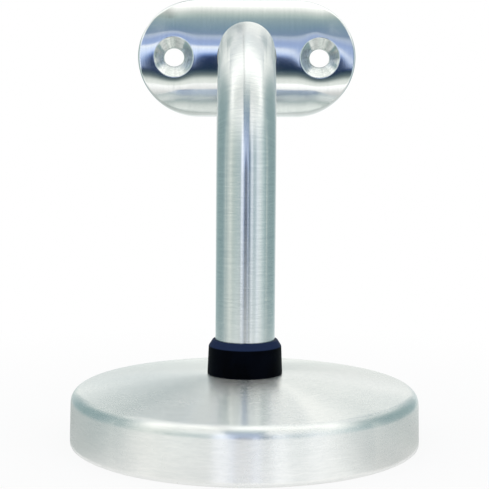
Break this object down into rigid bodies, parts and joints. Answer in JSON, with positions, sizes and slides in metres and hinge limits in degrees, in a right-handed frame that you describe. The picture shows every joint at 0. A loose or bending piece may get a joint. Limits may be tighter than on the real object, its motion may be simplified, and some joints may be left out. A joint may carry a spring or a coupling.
{
  "type": "handrail bracket",
  "caption": "Wall bracket for a round handrail: bent rod with a rolled, countersunk saddle plate, screw-on flange, and a domed cover cap with a rubber collar that slides up the rod.",
  "frame": {"origin": "centre of the wall plane, on the axis of the rod's straight leg and level with the flange's back face", "axes": "+Z points out of the wall along the rod's straight leg, +Y points from the rod to the rail, +X runs along the rail"},
  "size_m": [0.0762, 0.104, 0.1019],
  "materials": {
    "flange_steel": "turned",
    "weld_steel": "brushed weld bead",
    "rod_steel": "satin, ground along the rod",
    "saddle_steel": "satin, ground across the plate",
    "cap_steel": "satin",
    "collar_rubber": "smooth black rubber"
  },
  "bodies": {
    "bracket": {"wall_flange": "flange_steel", "flange_weld": "weld_steel", "arm_rod": "rod_steel", "saddle_weld": "weld_steel", "saddle_plate": "saddle_steel"},
    "cover": {"cover_cap": "cap_steel", "collar_ring": "collar_rubber"}
  },
  "joints": [
    {"name": "cover_slide", "type": "slide", "parent": "bracket", "child": "cover", "axis": [0, 0, 1], "range_m": [0, 0.036]}
  ]
}
